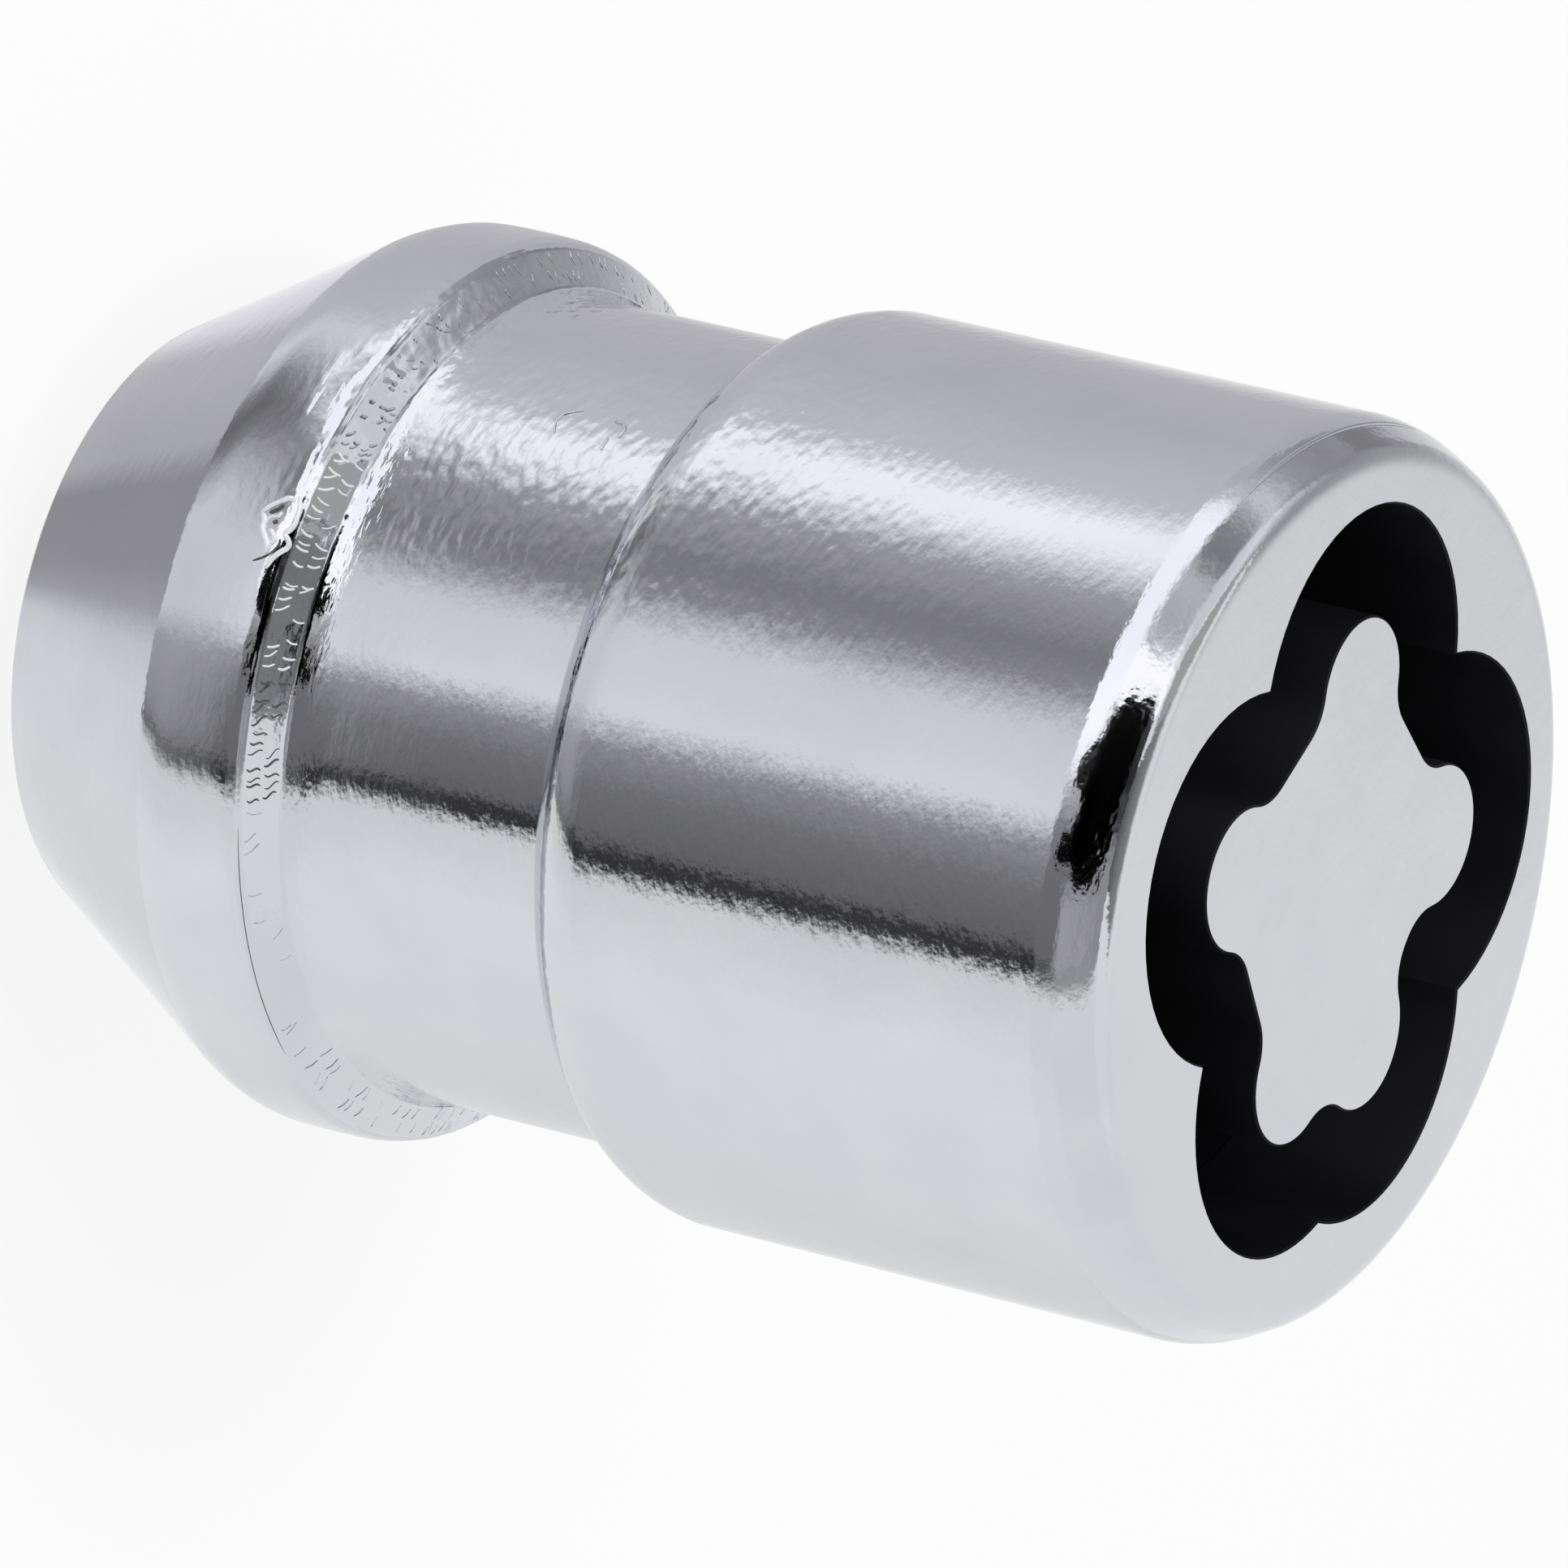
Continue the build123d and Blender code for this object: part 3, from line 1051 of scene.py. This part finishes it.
def shaded_material(ceiling):
    """Card of one brightness over the nut, darker towards its front edge and white at its back edge."""
    material, nodes, glow = glowing_material(ceiling.name)
    depth = nodes.place()["Y"]
    from_front = nodes.fade(depth, ceiling.front * MM, 0.0)
    to_back = nodes.fade(depth, 0.0, ceiling.back * MM)
    front_share = nodes.math("MULTIPLY", from_front, 1 - SHADED_FRONT_SHARE)
    front_share = nodes.math("ADD", front_share, SHADED_FRONT_SHARE)
    front_part = nodes.math("MULTIPLY", front_share, ceiling.brightness)
    back_part = nodes.math("MULTIPLY", to_back, 1 - ceiling.brightness)
    nodes.feed(glow.inputs["Strength"], nodes.math("ADD", front_part, back_part))
    return material


def reflection_card(name, points, faces, material):
    """Stage piece that shows only in reflections."""
    mesh = bpy.data.meshes.new(name)
    mesh.from_pydata([Vector(point) * MM for point in points], [], faces)
    mesh.materials.append(material)
    card = bpy.data.objects.new(name, mesh)
    bpy.context.scene.collection.objects.link(card)
    card.visible_camera = False
    card.visible_diffuse = False
    card.visible_transmission = False
    card.visible_volume_scatter = False
    card.visible_shadow = False


def ring_card(name, rings, material):
    """Card of bands between rings, each given as a radius and a height."""
    points = [(spot.x, spot.y, height) for radius, height in rings for spot in circle(radius, CARD_POINTS)]
    faces = []
    for band in range(len(rings) - 1):
        low = band * CARD_POINTS
        high = low + CARD_POINTS
        for step in range(CARD_POINTS):
            following = (step + 1) % CARD_POINTS
            faces.append((low + step, low + following, high + following, high + step))
    reflection_card(name, points, faces, material)


def camera_card():
    """Dark shape of the camera and its legs, seen in the chrome."""
    points = []
    faces = []
    for shape in CAMERA_SHAPES:
        first = len(points)
        for height, *sides in shape:
            points += [(*polar(CAMERA_CARD_RADIUS, azimuth - 90), height) for azimuth in sides]
        faces += [(row, row + 1, row + 3, row + 2) for row in range(first, len(points) - 2, 2)]
    reflection_card("camera_card", points, faces, card_material("camera_card", 0.0))


def ceiling_card(ceiling, material):
    """Level card on top of the tent."""
    left, right, front, back = ceiling.left, ceiling.right, ceiling.front, ceiling.back
    corners = [(left, front), (right, front), (right, back), (left, back)]
    points = [(x, y, TENT_HEIGHT) for x, y in corners]
    reflection_card(ceiling.name, points, [(0, 1, 2, 3)], material)


def make_cards():
    """Tent of strips around the nut, the floor at its foot, the camera's shape and the cards above."""
    tent = ((FOOT_RADIUS, CARD_GAP), (TENT_RADIUS, CARD_GAP), (TENT_RADIUS, TENT_HEIGHT))
    ring_card("strip_tent", tent, strip_material("tent_strips", TENT_CENTRE, TENT_LEVELS))
    foot = ((nose_radius, CARD_GAP), (FOOT_RADIUS, CARD_GAP))
    ring_card("foot_card", foot, strip_material("foot_strips", FOOT_CENTRE, FOOT_LEVELS))
    camera_card()
    ceiling_card(SHADED_CEILING, shaded_material(SHADED_CEILING))
    ceiling_card(PALE_CEILING, card_material(PALE_CEILING.name, PALE_CEILING.brightness))


# Floor, surround and lamp, in metres and watts
FLOOR_HALF_WIDTH = 1.5
FLOOR_HEIGHT = -2.0e-5
FLOOR_COLOUR = (0.86, 0.86, 0.86, 1.0)
FLOOR_SHADOW_SHARE = 0.15
SURROUND_COLOUR = (1.0, 1.0, 1.0, 1.0)
SURROUND_LIGHT = 0.6
LAMP_PLACE = Vector((-0.18, -0.12, 0.5))
LAMP_SIZE = 0.35
LAMP_POWER = 1.6


def seen_share(nodes):
    """1 for rays of the camera, of reflections and through glass, and 0 for rays that light a surface."""
    path = nodes.add("ShaderNodeLightPath")
    seen = nodes.math("ADD", path.outputs["Is Camera Ray"], path.outputs["Is Glossy Ray"])
    return nodes.math("MINIMUM", nodes.math("ADD", seen, path.outputs["Is Transmission Ray"]), 1.0)


def floor_material():
    """Pale paint that shows white to the camera and in the chrome, and keeps a soft shadow."""
    material, nodes = new_material("pale_floor")
    paint = nodes.add("ShaderNodeBsdfDiffuse")
    nodes.feed(paint.inputs["Color"], FLOOR_COLOUR)
    glow = nodes.add("ShaderNodeEmission")
    mix = nodes.add("ShaderNodeMixShader")
    nodes.feed(mix.inputs["Fac"], nodes.math("MULTIPLY", seen_share(nodes), 1.0 - FLOOR_SHADOW_SHARE))
    nodes.feed(mix.inputs[1], paint.outputs["BSDF"])
    nodes.feed(mix.inputs[2], glow.outputs["Emission"])
    nodes.show(mix.outputs["Shader"])
    material.cycles.emission_sampling = "NONE"
    return material


def make_floor():
    """Wide level floor under the nut."""
    reach = FLOOR_HALF_WIDTH
    corners = [(-reach, -reach), (reach, -reach), (reach, reach), (-reach, reach)]
    mesh = bpy.data.meshes.new("floor")
    mesh.from_pydata([(x, y, FLOOR_HEIGHT) for x, y in corners], [], [(0, 1, 2, 3)])
    mesh.materials.append(floor_material())
    floor = bpy.data.objects.new("floor", mesh)
    bpy.context.scene.collection.objects.link(floor)


def make_surround():
    """White surround, which lights the nut less than it shows."""
    world = bpy.data.worlds.new("studio")
    world.use_nodes = True
    nodes = Nodes(world.node_tree)
    background = nodes.add("ShaderNodeBackground")
    nodes.feed(background.inputs["Color"], SURROUND_COLOUR)
    nodes.feed(background.inputs["Strength"], nodes.math("MAXIMUM", seen_share(nodes), SURROUND_LIGHT))
    nodes.show(background.outputs["Background"], "ShaderNodeOutputWorld")
    bpy.context.scene.world = world


def make_lamp():
    """One broad soft lamp above, which doesn't show in the chrome."""
    lamp = bpy.data.lights.new("overhead", "AREA")
    lamp.shape = "DISK"
    lamp.size = LAMP_SIZE
    lamp.energy = LAMP_POWER
    overhead = bpy.data.objects.new("overhead", lamp)
    overhead.location = LAMP_PLACE
    overhead.rotation_euler = (-LAMP_PLACE).to_track_quat("-Z", "Y").to_euler()
    overhead.visible_glossy = False
    bpy.context.scene.collection.objects.link(overhead)


# Camera of the photograph: what it aims at, how far it is and how it looks there. Its clip is in metres.
CAMERA_AIM = Vector((0.493, 0.486, 16.862))
CAMERA_DISTANCE = 414.52
CAMERA_ELEVATION = 29.466
CAMERA_AZIMUTH = 0.078
CAMERA_ROLL = 103.272
CAMERA_LENS = 404.854
CAMERA_SENSOR = 36.0
CAMERA_CLIP = 0.01


def make_camera():
    """Long lens, rolled so that the nut lies on its side in the picture."""
    elevation = math.radians(CAMERA_ELEVATION)
    azimuth = math.radians(CAMERA_AZIMUTH)
    level = math.cos(elevation)
    look = Vector((level * math.sin(azimuth), level * math.cos(azimuth), -math.sin(elevation)))
    data = bpy.data.cameras.new("camera")
    data.lens = CAMERA_LENS
    data.sensor_width = CAMERA_SENSOR
    data.clip_start = CAMERA_CLIP
    camera = bpy.data.objects.new("camera", data)
    camera.rotation_mode = "QUATERNION"
    roll = Matrix.Rotation(math.radians(CAMERA_ROLL), 3, "Z").to_quaternion()
    camera.rotation_quaternion = look.to_track_quat("-Z", "Y") @ roll
    camera.location = (CAMERA_AIM - look * CAMERA_DISTANCE) * MM
    bpy.context.scene.collection.objects.link(camera)
    bpy.context.scene.camera = camera


chrome = metal_material(CHROME, (STREAKS, ORANGE_PEEL, ROOT_TURNING, SIDE_RIPPLES))
torn = metal_material(TORN_METAL)
# Dark material for the folds, the lip crack and the open chatter: painted shade of their crevices
crevice_shade = metal_material(CREVICE_SHADE)
nut = make_nut(chrome, black_material())
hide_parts("nut_body")
marks = [
    make_ridges("collar_burr", COLLAR_BURR, torn),
    make_ridges("collar_scuffs", scuff_ridges(), torn),
    make_ridges("collar_folds", COLLAR_FOLDS, crevice_shade),
    make_ridges("neck_scores", NECK_SCORES, chrome),
    make_ridges("lip_crack", [LIP_CRACK], crevice_shade),
    make_ridges("rim_edge", [RIM_EDGE], chrome),
]
# Open crests take the dark material, which is painted crevice shade
for finish, material in (("plain", chrome), ("worn", torn), ("open", crevice_shade)):
    ridges = [ridge for zone in CHATTER_ZONES if zone.finish == finish for ridge in chatter_ridges(zone)]
    marks.append(make_ridges(finish + "_chatter", ridges, material))
for piece in (nut, *marks):
    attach(piece, "root")
make_floor()
make_cards()
make_surround()
make_lamp()
make_camera()
bpy.context.scene.view_settings.view_transform = "Standard"
